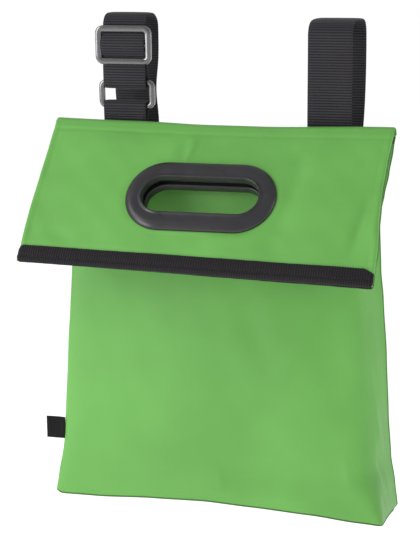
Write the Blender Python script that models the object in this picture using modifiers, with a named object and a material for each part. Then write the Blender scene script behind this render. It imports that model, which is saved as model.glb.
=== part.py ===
"""Fold-over hanging bag: a flat gusseted bag whose mouth end is folded forward as a
double flap with a snap-in hand grip in each layer, hung by two webbing loops.

Frame: +X to the right of a person facing the bag, -Y to the front, +Z up. The origin is
the top line of the rail that the bag hangs on, half-way between the two loops.
All dimensions below are in millimetres in the bag's own working frame, whose zero is the
middle of the top fold on the front face of the back panel. HANG moves that frame so that
the rail line is the origin.
"""

import math

import bmesh
import bpy
from mathutils import Matrix, Vector

MM = 0.001

# ---- driving dimensions (mm) -------------------------------------------------------
BAG_WIDTH = 330.0          # flat width of the fabric tube
BODY_HEIGHT = 364.0        # top fold to the underside of the bag, less the bottom panel
BASE_DEPTH = 64.0          # front to back at the base
THROAT = 13.0              # front to back at the top fold
FABRIC = 2.0               # panel thickness of the plain solids
GUSSET = 2.5

FOLD_Y, FOLD_Z = -6.0, -8.0    # axis of the top fold
FLAP_TILT = 43.0               # angle between the flap and the vertical, degrees
FLAP_OUTER = 6.5               # from the fold axis to the near face of the outer layer
FLAP_INNER = -4.5              # and to the near face of the inner layer
FLAP_END = 155.0               # from the fold axis to the raw edge of the mouth
INNER_END = 151.0              # the inner layer is shorter, as it runs inside the fold
BINDING_HEIGHT = 17.0
BINDING_WALL = 1.2

GRIP_LENGTH, GRIP_HEIGHT = 142.0, 72.0
HOLE_LENGTH, HOLE_HEIGHT = 111.0, 37.0
COLLAR_WALL = 1.2
GRIP_S = 78.0                  # from the fold axis to the middle of the grip
GRIP_X = -5.0                  # the grips are set a little to the left
FRONT_FRAME, REAR_FRAME = 5.0, 3.2

WEB_WIDTH, WEB = 40.0, 1.6     # webbing
LOOP_X = 100.0
LOOP_HINGE_Y, LOOP_HINGE_Z = 5.8, -58.5
LOOP_TOP = 98.0                # centre line of the webbing at the top of a loop
LOOP_FRONT_Y, LOOP_BACK_Y = 5.4, 51.0
ARCH_RISE = 17.0               # the top of a loop is flatter than a half circle

SLIDER_W, SLIDER_H, SLIDER_T = 57.0, 37.0, 4.6
SLIDER_Z = 72.5
SLIDER_Y = -1.0
RING_W, RING_H, RING_T = 56.5, 28.0, 4.6
RING_Y, RING_Z = 7.6, 25.0

GAP = 0.3
HANG = Vector((0.0, -27.2, -97.2))   # working frame to the row's frame

# ---- colours, as seen (sRGB) ---------------------------------------------------------
GREEN = (115, 181, 95)
INNER_GREEN = (96, 158, 80)
WEBBING = (52, 51, 55)
BLACK_PLASTIC = (30, 30, 33)
BINDING = (43, 39, 44)


def linear(channel):
    c = channel / 255.0
    return c / 12.92 if c <= 0.04045 else ((c + 0.055) / 1.055) ** 2.4


def material(name, colour, roughness, metallic=0.0):
    mat = bpy.data.materials.new(name)
    mat.use_nodes = True
    shader = mat.node_tree.nodes["Principled BSDF"]
    shader.inputs["Base Color"].default_value = (*[linear(c) for c in colour], 1.0)
    shader.inputs["Roughness"].default_value = roughness
    shader.inputs["Metallic"].default_value = metallic
    return mat


# ---- scene -----------------------------------------------------------------------------
for old in list(bpy.data.objects):
    bpy.data.objects.remove(old, do_unlink=True)

parts = bpy.data.collections.new("fold_over_hanging_bag")
cutters = bpy.data.collections.new("cutters")
bpy.context.scene.collection.children.link(parts)
bpy.context.scene.collection.children.link(cutters)


def empty(name, y, z, x=0.0, parent=None):
    """An empty on a joint's axis; y, z and x are in the working frame, in mm."""
    obj = bpy.data.objects.new(name, None)
    obj.empty_display_size = 0.02
    parts.objects.link(obj)
    place = (Vector((x, y, z)) + HANG) * MM
    obj["place"] = place
    if parent is not None:
        obj.parent = parent
        place = place - Vector(parent["place"])
    obj.location = place
    return obj


def add(obj, parent, mat):
    """Hangs an object whose mesh is in the working frame (metres) under a joint's empty."""
    parts.objects.link(obj)
    obj.data.materials.clear()
    obj.data.materials.append(mat)
    obj.parent = parent
    obj.matrix_parent_inverse = Matrix.Identity(4)
    shift = HANG * MM - Vector(parent["place"])
    obj.data.transform(Matrix.Translation(shift))
    return obj


def smooth(obj, degrees=40.0):
    obj.data.shade_smooth()
    obj.data.set_sharp_from_angle(angle=math.radians(degrees))


def apply_modifiers(obj):
    """Returns a new object holding the evaluated mesh, and removes the old one."""
    bpy.context.view_layer.update()
    graph = bpy.context.evaluated_depsgraph_get()
    mesh = bpy.data.meshes.new_from_object(obj.evaluated_get(graph))
    name = obj.name
    matrix = obj.matrix_world.copy()
    bpy.data.objects.remove(obj, do_unlink=True)
    mesh.transform(matrix)
    return bpy.data.objects.new(name, mesh)


def sheet(name, columns, rows, place, thickness, offset=1.0):
    """A grid bent into a panel by place(u, v) -> mm, u across 0..1 and v up 0..1, then
    given its thickness by Solidify, on the side that offset says."""
    bm = bmesh.new()
    bmesh.ops.create_grid(bm, x_segments=columns, y_segments=rows, size=0.5)
    for v in bm.verts:
        v.co = Vector(place(v.co.x + 0.5, v.co.y + 0.5)) * MM
    mesh = bpy.data.meshes.new(name)
    bm.to_mesh(mesh)
    bm.free()
    obj = bpy.data.objects.new(name, mesh)
    bpy.context.scene.collection.objects.link(obj)
    mod = obj.modifiers.new("thickness", "SOLIDIFY")
    mod.thickness = thickness * MM
    mod.offset = offset
    mod.use_even_offset = True
    return apply_modifiers(obj)


def box(name, low, high):
    """A cube primitive stretched between two corners, in mm."""
    bm = bmesh.new()
    bmesh.ops.create_cube(bm, size=1.0)
    low, high = Vector(low), Vector(high)
    for v in bm.verts:
        v.co = Vector((low[i] + (v.co[i] + 0.5) * (high[i] - low[i])) * MM for i in range(3))
    mesh = bpy.data.meshes.new(name)
    bm.to_mesh(mesh)
    bm.free()
    return bpy.data.objects.new(name, mesh)


def stadium(name, length, height, low, high, round_top=0.0, steps=12):
    """A round-ended slab in the XY plane between z = low and z = high, in mm, from a flat
    curve with an extrusion."""
    r = height / 2.0
    half = length / 2.0 - r
    curve = bpy.data.curves.new(name, "CURVE")
    curve.dimensions = "2D"
    curve.fill_mode = "BOTH"
    curve.extrude = (high - low) / 2.0 * MM
    if round_top:
        curve.bevel_depth = round_top * MM
        curve.bevel_resolution = 2
        curve.extrude = ((high - low) / 2.0 - round_top) * MM
        r -= round_top
    spline = curve.splines.new("POLY")
    outline = []
    for side in (1, -1):
        for k in range(steps + 1):
            a = -math.pi / 2 + math.pi * k / steps
            outline.append((side * (half + r * math.cos(a)), side * r * math.sin(a)))
    spline.points.add(len(outline) - 1)
    for point, (x, y) in zip(spline.points, outline):
        point.co = (x * MM, y * MM, 0.0, 1.0)
    spline.use_cyclic_u = True
    obj = bpy.data.objects.new(name, curve)
    bpy.context.scene.collection.objects.link(obj)
    solid = apply_modifiers(obj)
    bm = bmesh.new()
    bm.from_mesh(solid.data)
    bmesh.ops.remove_doubles(bm, verts=bm.verts, dist=1e-5)
    bmesh.ops.recalc_face_normals(bm, faces=bm.faces)
    bmesh.ops.translate(bm, verts=bm.verts, vec=(0, 0, (low + high) / 2.0 * MM))
    bm.to_mesh(solid.data)
    bm.free()
    return solid


def boolean(base, other, operation):
    """base combined with other; other is kept in the cutters' collection, hidden."""
    if base.name not in bpy.context.scene.collection.objects:
        bpy.context.scene.collection.objects.link(base)
    other.name = base.name + "_" + operation.lower() + "_tool"
    cutters.objects.link(other)
    other.hide_render = True
    other.display_type = "WIRE"
    mod = base.modifiers.new(operation.lower(), "BOOLEAN")
    mod.operation = operation
    mod.object = other
    result = apply_modifiers(base)
    bpy.data.objects.remove(other, do_unlink=True)
    return result


def tilt(obj):
    """From the flap's flat frame (X, up the flap, outwards) into the working frame."""
    obj.data.transform(
        Matrix.Translation(Vector((0, FOLD_Y, FOLD_Z)) * MM)
        @ Matrix.Rotation(math.radians(90.0 - FLAP_TILT), 4, "X")
    )
    return obj


# ---- materials -------------------------------------------------------------------------
green = {
    name: material(name + "_fabric", GREEN, 0.55)
    for name in ("back_panel", "front_panel", "left_side", "right_side", "bottom", "flap")
}
inner_green = material("inner_flap_fabric", INNER_GREEN, 0.6)
gusset_green = material("flap_gusset_fabric", INNER_GREEN, 0.6)
binding_black = material("binding_tape", BINDING, 0.75)
webbing_black = material("webbing", WEBBING, 0.8)
anchor_black = material("anchor_webbing", WEBBING, 0.8)
grip_black = material("grip_plastic", BLACK_PLASTIC, 0.4)
grip_rear_black = material("grip_rear_plastic", BLACK_PLASTIC, 0.45)
slider_black = material("slider_plastic", BLACK_PLASTIC, 0.25)
ring_black = material("ring_plastic", BLACK_PLASTIC, 0.25)
label_black = material("label_weave", (24, 24, 26), 0.85)

# ---- joint axes ------------------------------------------------------------------------
bag = empty("bag_frame", 0.0, 0.0)
fold_axis = empty("flap_fold_axis", FOLD_Y, FOLD_Z, parent=bag)
tilt_matrix = Matrix.Rotation(math.radians(90.0 - FLAP_TILT), 3, "X")
mouth_point = Vector((0, FOLD_Y, FOLD_Z)) + tilt_matrix @ Vector((0, -19.0, -5.5))
mouth_axis = empty("mouth_open_axis", mouth_point.y, mouth_point.z, parent=fold_axis)
left_swing = empty("left_loop_axis", LOOP_HINGE_Y, LOOP_HINGE_Z, -LOOP_X, bag)
right_swing = empty("right_loop_axis", LOOP_HINGE_Y, LOOP_HINGE_Z, LOOP_X, bag)
slider_axis = empty("slider_axis", SLIDER_Y, SLIDER_Z, -LOOP_X, left_swing)
ring_axis = empty("ring_axis", RING_Y, RING_Z, -LOOP_X, left_swing)


# ---- bag body ----------------------------------------------------------------------------
def between(z, table):
    """Smooth interpolation through (z, value) pairs given from the top down."""
    for (z0, a), (z1, b) in zip(table, table[1:]):
        if z >= z1:
            t = (z0 - z) / (z0 - z1)
            t = t * t * (3 - 2 * t) * 0.5 + t * 0.5
            return a + (b - a) * t
    return table[-1][1]


BACK_HALF = [(-8.0, 165.0), (-105.0, 151.5), (-216.0, 156.5), (-315.0, 162.0), (-366.0, 166.0)]
FRONT_HALF = [(-8.0, 163.5), (-105.0, 148.0), (-216.0, 147.0), (-315.0, 153.0), (-366.0, 159.0)]


def back_half(z):
    return between(z, BACK_HALF)


def front_half(z):
    return between(z, FRONT_HALF)


FRONT_TOP = -18.0

# how far a side gusset is creased inwards: folded flat at the top, almost flat at the base
CREASE = [(-8.0, 31.0), (-70.0, 27.0), (-120.0, 20.0), (-200.0, 12.0), (-300.0, 7.0), (-366.0, 5.0)]


def front_y(z):
    """Outer face of the front panel, which leans out from the throat to the base."""
    t = max(0.0, (FRONT_TOP - z) / (BODY_HEIGHT + FRONT_TOP))
    return -THROAT - (BASE_DEPTH - THROAT) * (0.55 * t + 0.45 * math.sin(math.pi * t / 2))


PANEL_FOOT = -BODY_HEIGHT + GAP


def back_place(u, v):
    z = PANEL_FOOT + v * (FOLD_Z - PANEL_FOOT)
    return ((2 * u - 1) * back_half(z), 0.0, z)


def front_place(u, v):
    z = PANEL_FOOT + v * (FRONT_TOP - PANEL_FOOT)
    return ((2 * u - 1) * front_half(z), front_y(z), z)


# grid normals: +u cross +v is -Y here, so offset 1 thickens forward and -1 backward
back_panel = sheet("back_panel", 1, 14, back_place, FABRIC, -1.0)
add(back_panel, bag, green["back_panel"])
front_panel = sheet("front_panel", 1, 14, front_place, FABRIC, -1.0)
add(front_panel, bag, green["front_panel"])


def gusset_place(side):
    def place(u, v):
        z = PANEL_FOOT + v * (FRONT_TOP - 2.0 - PANEL_FOOT)
        near = front_y(z) + FABRIC + 1.7      # against the front panel's inner face
        far = -1.7                            # against the back panel's front face
        depth = far - near
        crease = between(z, CREASE)
        edge = (1 - u) * (front_half(z) - 2.5) + u * (back_half(z) - 2.5)
        return (side * (edge - crease * (1 - abs(2 * u - 1))), near + u * depth, z)
    return place


for name, side, mat in (
    ("left_side_gusset", -1, green["left_side"]),
    ("right_side_gusset", 1, green["right_side"]),
):
    # the material is added towards the middle of the bag
    piece = sheet(name, 2, 10, gusset_place(side), GUSSET, 0.0)
    add(piece, bag, mat)

bm = bmesh.new()
bmesh.ops.create_cube(bm, size=1.0)
for vert in bm.verts:
    front = vert.co.y < 0
    vert.co = Vector((
        math.copysign(FRONT_HALF[-1][1] if front else BACK_HALF[-1][1], vert.co.x),
        -BASE_DEPTH if front else FABRIC,
        -BODY_HEIGHT - (FABRIC if vert.co.z < 0 else 0.0),
    )) * MM
mesh = bpy.data.meshes.new("bottom_panel")
bm.to_mesh(mesh)
bm.free()
add(bpy.data.objects.new("bottom_panel", mesh), bag, green["bottom"])

# side label: a folded strip of woven tape caught in the front left seam
LABEL_Z = (-306.0, -284.0)
label_edge = -max(front_half(z) for z in LABEL_Z) - 0.6
label_y = front_y(LABEL_Z[0])
add(box("side_label", (label_edge - 18.5, label_y, LABEL_Z[0]), (label_edge, label_y + 1.2, LABEL_Z[1])),
    bag, label_black)

# webbing tails, sewn flat on the back panel, two layers thick
for name, x in (("left_loop_anchor", -LOOP_X), ("right_loop_anchor", LOOP_X)):
    tail = box(name, (x - WEB_WIDTH / 2, FABRIC + GAP, -112.0),
               (x + WEB_WIDTH / 2, FABRIC + GAP + 2 * WEB, -61.0))
    add(tail, bag, anchor_black)


# ---- flap, both layers ---------------------------------------------------------------------
def flap_panel(name, low, high, start, end, half_width, hole):
    plate = box(name, (-half_width, -end, low), (half_width, -start, high))
    cut = stadium("cut", hole[0], hole[1], low - 5, high + 5)
    cut.data.transform(Matrix.Translation(Vector((GRIP_X, -GRIP_S, 0)) * MM))
    return tilt(boolean(plate, cut, "DIFFERENCE"))


panel_hole = (HOLE_LENGTH + 2 * COLLAR_WALL + 2 * GAP, HOLE_HEIGHT + 2 * COLLAR_WALL + 2 * GAP)
outer = (FLAP_OUTER, FLAP_OUTER + FABRIC)
inner = (FLAP_INNER - FABRIC, FLAP_INNER)
add(flap_panel("outer_flap_panel", *outer, 4.0, FLAP_END, BAG_WIDTH / 2, panel_hole),
    fold_axis, green["flap"])
add(flap_panel("inner_flap_panel", *inner, 22.5, INNER_END, BAG_WIDTH / 2 - 1.0, panel_hole),
    mouth_axis, inner_green)


def binding(name, layer, half_width, end):
    """Tape folded over the raw edge of one layer, with a slot that holds the edge."""
    low, high = layer
    body = box(name, (-half_width, -end - GAP - BINDING_WALL, low - GAP - BINDING_WALL),
               (half_width, -end - GAP - BINDING_WALL + BINDING_HEIGHT, high + GAP + BINDING_WALL))
    slot = box("slot", (-half_width - 5, -end - GAP, low - GAP),
               (half_width + 5, 0.0, high + GAP))
    return tilt(boolean(body, slot, "DIFFERENCE"))


add(binding("outer_mouth_binding", outer, BAG_WIDTH / 2 + 2.0, FLAP_END), fold_axis, binding_black)
add(binding("inner_mouth_binding", inner, BAG_WIDTH / 2 + 1.0, INNER_END), mouth_axis, binding_black)


def grip(front_name, rear_name, layer, front_proud, rear_thick, parent, front_mat, rear_mat):
    """Front frame with the collar that goes through the fabric, and the rear frame that
    snaps over the collar. layer is (low, high) of the fabric it grips."""
    low, high = layer
    seat = high + GAP
    under = low - GAP
    frame = stadium(front_name, GRIP_LENGTH, GRIP_HEIGHT, seat, seat + front_proud, round_top=1.4)
    collar = stadium("collar", HOLE_LENGTH + 2 * COLLAR_WALL, HOLE_HEIGHT + 2 * COLLAR_WALL,
                     under - rear_thick, seat + 1.0)
    frame = boolean(frame, collar, "UNION")
    bore = stadium("bore", HOLE_LENGTH, HOLE_HEIGHT, under - rear_thick - 5, seat + front_proud + 5)
    frame = boolean(frame, bore, "DIFFERENCE")
    rear = stadium(rear_name, GRIP_LENGTH - 2.0, GRIP_HEIGHT - 2.0, under - rear_thick, under)
    bore = stadium("bore", panel_hole[0], panel_hole[1], under - rear_thick - 5, under + 5)
    rear = boolean(rear, bore, "DIFFERENCE")
    for piece, mat in ((frame, front_mat), (rear, rear_mat)):
        piece.data.transform(Matrix.Translation(Vector((GRIP_X, -GRIP_S, 0)) * MM))
        add(tilt(piece), parent, mat)
        smooth(piece)


grip("outer_grip_front_frame", "outer_grip_rear_frame", outer, FRONT_FRAME, REAR_FRAME,
     fold_axis, grip_black, grip_rear_black)
grip("inner_grip_front_frame", "inner_grip_rear_frame", inner, REAR_FRAME, FRONT_FRAME,
     mouth_axis, grip_rear_black, grip_black)


def flap_gusset(side):
    """The side gusset where it runs on between the flap's layers, folded flat inwards."""
    def place(u, v):
        reach = 33.0 * (1 - abs(2 * u - 1))
        n = (FLAP_OUTER - 1.2) * u + (FLAP_INNER + 1.2) * (1 - u)
        return (side * (BAG_WIDTH / 2 - 2.5 - reach), -133.0 + v * 104.5, n)
    return place


for name, side in (("left_flap_gusset", -1), ("right_flap_gusset", 1)):
    add(tilt(sheet(name, 2, 1, flap_gusset(side), 1.2, 0.0)), fold_axis, gusset_green)


# ---- webbing -------------------------------------------------------------------------------
def webbing(name, centre_x, path):
    """A strip of webbing along path(v) -> (y, z), v from 0 to 1, in mm."""
    def place(u, v):
        y, z = path(v)
        return (centre_x + (u - 0.5) * WEB_WIDTH, y, z)
    return place


def even_path(points, count):
    """count + 1 points at equal spacing along a smooth curve through the given points."""
    fine = []
    n = len(points)
    for i in range(n - 1):
        p0 = Vector(points[max(i - 1, 0)])
        p1, p2 = Vector(points[i]), Vector(points[i + 1])
        p3 = Vector(points[min(i + 2, n - 1)])
        for k in range(16):
            t = k / 16.0
            fine.append(0.5 * ((2 * p1) + (p2 - p0) * t + (2 * p0 - 5 * p1 + 4 * p2 - p3) * t * t
                               + (3 * p1 - p0 - 3 * p2 + p3) * t ** 3))
    fine.append(Vector(points[-1]))
    run = [0.0]
    for a, b in zip(fine, fine[1:]):
        run.append(run[-1] + (b - a).length)
    out = []
    j = 0
    for k in range(count + 1):
        s = run[-1] * k / count
        while j < len(run) - 2 and run[j + 1] < s:
            j += 1
        t = (s - run[j]) / max(run[j + 1] - run[j], 1e-9)
        out.append(fine[j].lerp(fine[j + 1], t))
    return out


def strip(name, centre_x, points, count):
    route = even_path(points, count)

    def place(u, v):
        p = route[round(v * count)]
        return (centre_x + (u - 0.5) * WEB_WIDTH, p.x, p.y)
    return sheet(name, 1, count, place, WEB, 0.0)


def loop_arch():
    """Top of a loop, from the front strand over to the back strand."""
    mid, half = (LOOP_FRONT_Y + LOOP_BACK_Y) / 2, (LOOP_BACK_Y - LOOP_FRONT_Y) / 2
    base = LOOP_TOP - ARCH_RISE
    out = []
    for k in range(13):
        a = math.pi * k / 12
        out.append((mid - half * math.copysign(abs(math.cos(a)) ** 0.8, math.cos(a)),
                    base + ARCH_RISE * math.sin(a) ** 0.8))
    return out


def back_strand():
    """From the arch down to the anchor, bowing in to meet the front strand."""
    foot_y, foot_z = 7.9, -57.0
    top = LOOP_TOP - ARCH_RISE
    out = []
    for k in range(1, 10):
        z = top + (foot_z - top) * k / 9.0
        h = (z - foot_z) / (top - foot_z)
        out.append((foot_y + (LOOP_BACK_Y - foot_y) * (1 - (1 - h) ** 3.4), z))
    return out


front_leg = [(LOOP_FRONT_Y, z) for z in (-57.0, -30.0, 0.0, 30.0, 55.0)]
right_route = front_leg + loop_arch() + back_strand()
add(strip("right_loop_webbing", LOOP_X, right_route, 46), right_swing, webbing_black)

# left loop: the webbing comes up the back, over the top, down behind the slider, round the
# ring's upper bar and up again behind the slider's lower bar
bar_offset = RING_H / 2 - 2.3                    # ring centre to the centre of a bar
turn = 4.9                                       # centre line of the webbing round a bar
upper = RING_Z + bar_offset
inner_leg_y = LOOP_FRONT_Y + 1.6
left_route = [(y, z) for y, z in reversed(back_strand())] + list(reversed(loop_arch()))
left_route = left_route[:-1] + [(inner_leg_y - 1.0, 72.0), (inner_leg_y, 62.0), (inner_leg_y + 1.2, 52.0)]
left_route += [(RING_Y + turn * math.cos(a), upper + turn * math.sin(a))
               for a in [math.radians(d) for d in range(0, -181, -20)]]
left_route += [(RING_Y - turn + 0.6, upper + 9.0), (3.4, upper + 15.0), (3.4, upper + 22.0)]
add(strip("left_loop_webbing", -LOOP_X, left_route, 72), left_swing, webbing_black)

lower = RING_Z - bar_offset
tab_route = [(4.8, -57.0), (4.6, -35.0), (4.0, -12.0), (3.2, 2.0)]
tab_route += [(RING_Y + turn * math.cos(a), lower + turn * math.sin(a))
              for a in [math.radians(d) for d in range(180, -1, -20)]]
tab_route += [(8.6, 0.0), (7.0, -14.0), (7.0, -27.0)]
add(strip("left_ring_tab", -LOOP_X, tab_route, 40), left_swing, webbing_black)


# ---- slider and ring -------------------------------------------------------------------------
def frame_of_bars(name, width, height, thickness, centre_y, centre_z, side_bar, end_bar, cross_bar):
    """A moulded frame of round-edged bars, flat in XZ, made as a slab with its windows cut."""
    slab = rounded_slab(name, width, height, thickness, 5.5)
    windows = [(-height / 2 + end_bar, height / 2 - end_bar)]
    if cross_bar:
        windows = [(-height / 2 + end_bar, -cross_bar / 2), (cross_bar / 2, height / 2 - end_bar)]
    for low, high in windows:
        window = box("window", (-width / 2 + side_bar, low, -thickness),
                     (width / 2 - side_bar, high, thickness))
        slab = boolean(slab, window, "DIFFERENCE")
    slab.data.transform(
        Matrix.Translation(Vector((-LOOP_X, centre_y, centre_z)) * MM)
        @ Matrix.Rotation(math.radians(90.0), 4, "X")
    )
    smooth(slab)
    return slab


def rounded_slab(name, width, height, thickness, radius):
    curve = bpy.data.curves.new(name, "CURVE")
    curve.dimensions = "2D"
    curve.fill_mode = "BOTH"
    edge = 1.2
    curve.extrude = (thickness / 2 - edge) * MM
    curve.bevel_depth = edge * MM
    curve.bevel_resolution = 2
    spline = curve.splines.new("POLY")
    r = radius - edge
    cx, cy = width / 2 - radius, height / 2 - radius
    outline = []
    for corner in range(4):
        a0 = corner * math.pi / 2
        ox = cx if corner in (0, 3) else -cx
        oy = cy if corner in (0, 1) else -cy
        for k in range(5):
            a = a0 + math.pi / 2 * k / 4
            outline.append((ox + r * math.cos(a), oy + r * math.sin(a)))
    spline.points.add(len(outline) - 1)
    for point, (x, y) in zip(spline.points, outline):
        point.co = (x * MM, y * MM, 0.0, 1.0)
    spline.use_cyclic_u = True
    obj = bpy.data.objects.new(name, curve)
    bpy.context.scene.collection.objects.link(obj)
    solid = apply_modifiers(obj)
    bm = bmesh.new()
    bm.from_mesh(solid.data)
    bmesh.ops.remove_doubles(bm, verts=bm.verts, dist=1e-5)
    bmesh.ops.recalc_face_normals(bm, faces=bm.faces)
    bm.to_mesh(solid.data)
    bm.free()
    return solid


slider = frame_of_bars("left_slider", SLIDER_W, SLIDER_H, SLIDER_T, SLIDER_Y, SLIDER_Z, 6.5, 6.5, 4.0)
add(slider, slider_axis, slider_black)
ring = frame_of_bars("left_square_ring", RING_W, RING_H, RING_T, RING_Y, RING_Z, 6.0, 4.6, 0.0)
add(ring, ring_axis, ring_black)

# the webbing's end, sewn round the slider's middle bar: it stands in the two windows and
# bows out in front of the bar
WRAP_HALF = 11.3
wrap_gap = SLIDER_T / 2 + GAP + 0.9
wrap_route = [
    (SLIDER_Y + 0.9, SLIDER_Z - WRAP_HALF + 0.5),
    (SLIDER_Y - 1.6, SLIDER_Z - 7.5),
    (SLIDER_Y - wrap_gap, SLIDER_Z - 3.5),
    (SLIDER_Y - wrap_gap - 0.2, SLIDER_Z),
    (SLIDER_Y - wrap_gap, SLIDER_Z + 3.5),
    (SLIDER_Y - 1.6, SLIDER_Z + 7.5),
    (SLIDER_Y + 0.9, SLIDER_Z + WRAP_HALF - 0.5),
]
add(strip("slider_webbing_end", -LOOP_X, wrap_route, 14), slider_axis, webbing_black)
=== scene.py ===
import math

import bmesh
import bpy
import numpy as np
from mathutils import Matrix, Vector


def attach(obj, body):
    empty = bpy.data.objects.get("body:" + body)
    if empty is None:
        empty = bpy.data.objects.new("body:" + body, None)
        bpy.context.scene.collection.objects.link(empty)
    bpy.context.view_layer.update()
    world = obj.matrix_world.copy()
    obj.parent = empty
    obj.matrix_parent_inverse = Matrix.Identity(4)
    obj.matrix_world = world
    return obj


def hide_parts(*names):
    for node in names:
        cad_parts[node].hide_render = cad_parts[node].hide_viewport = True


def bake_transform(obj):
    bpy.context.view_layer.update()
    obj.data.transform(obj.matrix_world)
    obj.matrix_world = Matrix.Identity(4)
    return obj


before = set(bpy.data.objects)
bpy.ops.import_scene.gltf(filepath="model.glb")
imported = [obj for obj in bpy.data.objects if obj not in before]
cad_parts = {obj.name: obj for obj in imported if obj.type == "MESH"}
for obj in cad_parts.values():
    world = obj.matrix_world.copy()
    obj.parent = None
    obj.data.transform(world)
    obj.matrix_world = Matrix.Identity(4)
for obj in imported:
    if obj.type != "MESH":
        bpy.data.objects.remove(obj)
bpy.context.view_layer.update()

# All lengths below are in millimetres in the bag's working frame, whose zero is the middle
# of the top fold on the front face of the back panel. row() moves them to the frame's metres.
HANG = np.array([0.0, -27.2, -97.2])
FOLD = np.array([-6.0, -8.0])            # y, z of the top fold's axis
TILT = math.radians(43.0)
T_DIR = np.array([-math.sin(TILT), -math.cos(TILT)])    # down the flap, in y, z
N_DIR = np.array([-math.cos(TILT), math.sin(TILT)])     # out of the flap, in y, z
W_HALF = 165.0
FLAP_END = 154.6
INNER_END = 150.6
GRIP_X, GRIP_S = -4.6, 77.6


def row(p):
    return (np.asarray(p, float) + HANG) * 0.001


# ------------------------------------------------------------------ smooth seeded noise
_rng = np.random.RandomState(7)
_WAVES = [(_rng.normal(size=2), _rng.uniform(0, 2 * math.pi)) for _ in range(64)]


def ripple(a, b, size, seed=0, count=9):
    """Smooth noise in about -1..1 over coordinates a, b (mm); size is its wavelength."""
    out = np.zeros(np.broadcast(a, b).shape)
    for k in range(count):
        d, phase = _WAVES[(seed * 11 + k * 5) % len(_WAVES)]
        d = d / np.linalg.norm(d)
        f = 2 * math.pi / (size * (0.7 + 0.13 * k))
        out += np.sin(f * (d[0] * a + d[1] * b) + phase + 1.7 * seed) / math.sqrt(count)
    return out * 0.8


def bump(d, width):
    return np.exp(-(d / width) ** 2)


def line_dist(a, b, a0, b0, a1, b1):
    """Distance from points (a, b) to the segment, and how far along it (0..1) they are."""
    da, db = a1 - a0, b1 - b0
    t = np.clip(((a - a0) * da + (b - b0) * db) / (da * da + db * db), 0, 1)
    return np.hypot(a - (a0 + t * da), b - (b0 + t * db)), t


def ease(t):
    t = np.clip(t, 0, 1)
    return t * t * (3 - 2 * t)


def between(z, table):
    """Smooth interpolation through (z, value) pairs given from the top down."""
    z = np.asarray(z, float)
    zs = np.array([p[0] for p in table])[::-1]
    vs = np.array([p[1] for p in table])[::-1]
    i = np.clip(np.searchsorted(zs, z) - 1, 0, len(zs) - 2)
    t = np.clip((z - zs[i]) / (zs[i + 1] - zs[i]), 0, 1)
    t = 0.5 * t + 0.5 * ease(t)
    return vs[i] + (vs[i + 1] - vs[i]) * t


def along(s, table):
    """As between, for a table whose first column rises."""
    return between(-np.asarray(s, float), [(-a, b) for a, b in table])


# ------------------------------------------------------------------ mesh helpers
def mesh_object(name, verts, faces, uvs=None, smooth=True):
    me = bpy.data.meshes.new(name)
    me.from_pydata([tuple(v) for v in row(verts)], [], faces)
    if uvs is not None:
        layer = me.uv_layers.new(name="cloth")
        flat = np.asarray(uvs, np.float32).reshape(-1)
        layer.data.foreach_set("uv", flat)
    if smooth:
        me.shade_smooth()
    me.update()
    ob = bpy.data.objects.new(name, me)
    bpy.context.scene.collection.objects.link(ob)
    return ob


def grid_object(name, P, uv=None, close_u=False, close_v=False, flip=False, caps=False):
    """A surface through P[v, u]; uv[v, u] in metres, with one more column or row where it
    closes."""
    P = np.asarray(P, float)
    nv, nu = P.shape[:2]
    if uv is None:
        du = np.concatenate([[0], np.cumsum(np.linalg.norm(np.diff(P[nv // 2], axis=0), axis=1))])
        dv = np.concatenate([[0], np.cumsum(np.linalg.norm(np.diff(P[:, nu // 2], axis=0), axis=1))])
        if close_u:
            du = np.append(du, du[-1] + np.linalg.norm(P[nv // 2, 0] - P[nv // 2, -1]))
        if close_v:
            dv = np.append(dv, dv[-1] + np.linalg.norm(P[0, nu // 2] - P[-1, nu // 2]))
        uv = np.stack(np.meshgrid(du, dv), -1) * 0.001
    faces, loops = [], []
    for i in range(nv if close_v else nv - 1):
        i1 = (i + 1) % nv
        for j in range(nu if close_u else nu - 1):
            j1 = (j + 1) % nu
            q = [(i, j), (i, j1), (i1, j1), (i1, j)]
            c = [(i, j), (i, j + 1), (i + 1, j + 1), (i + 1, j)]
            if flip:
                q.reverse()
                c.reverse()
            faces.append([a * nu + b for a, b in q])
            loops += [uv[a, b] for a, b in c]
    if caps and close_u:
        for i, order in ((0, -1), (nv - 1, 1)):
            ring = list(range(i * nu, (i + 1) * nu))[::order if not flip else -order]
            faces.append(ring)
            loops += [uv[min(i, uv.shape[0] - 1), k % nu] for k in range(nu)]
    return mesh_object(name, P.reshape(-1, 3), faces, loops)


def apply(ob):
    """Bakes the object's modifiers into its mesh."""
    bpy.context.view_layer.update()
    graph = bpy.context.evaluated_depsgraph_get()
    me = bpy.data.meshes.new_from_object(
        ob.evaluated_get(graph), preserve_all_data_layers=True, depsgraph=graph
    )
    old = ob.data
    ob.modifiers.clear()
    ob.data = me
    me.name = ob.name
    bpy.data.meshes.remove(old)
    return ob


def solid(ob, thickness, offset=0.0, crease=False):
    mod = ob.modifiers.new("thickness", "SOLIDIFY")
    mod.thickness = thickness * 0.001
    mod.offset = offset
    mod.use_even_offset = False
    return apply(ob)


def subdivide(ob, levels=1):
    mod = ob.modifiers.new("fine", "SUBSURF")
    mod.levels = mod.render_levels = levels
    return apply(ob)


def join(name, parts):
    """One object from several, keeping UVs."""
    bpy.ops.object.select_all(action="DESELECT")
    for p in parts:
        p.select_set(True)
    bpy.context.view_layer.objects.active = parts[0]
    if len(parts) > 1:
        bpy.ops.object.join()
    parts[0].name = name
    parts[0].data.name = name
    return parts[0]


def sharp(ob, degrees=35):
    ob.data.shade_smooth()
    ob.data.set_sharp_from_angle(angle=math.radians(degrees))


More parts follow.
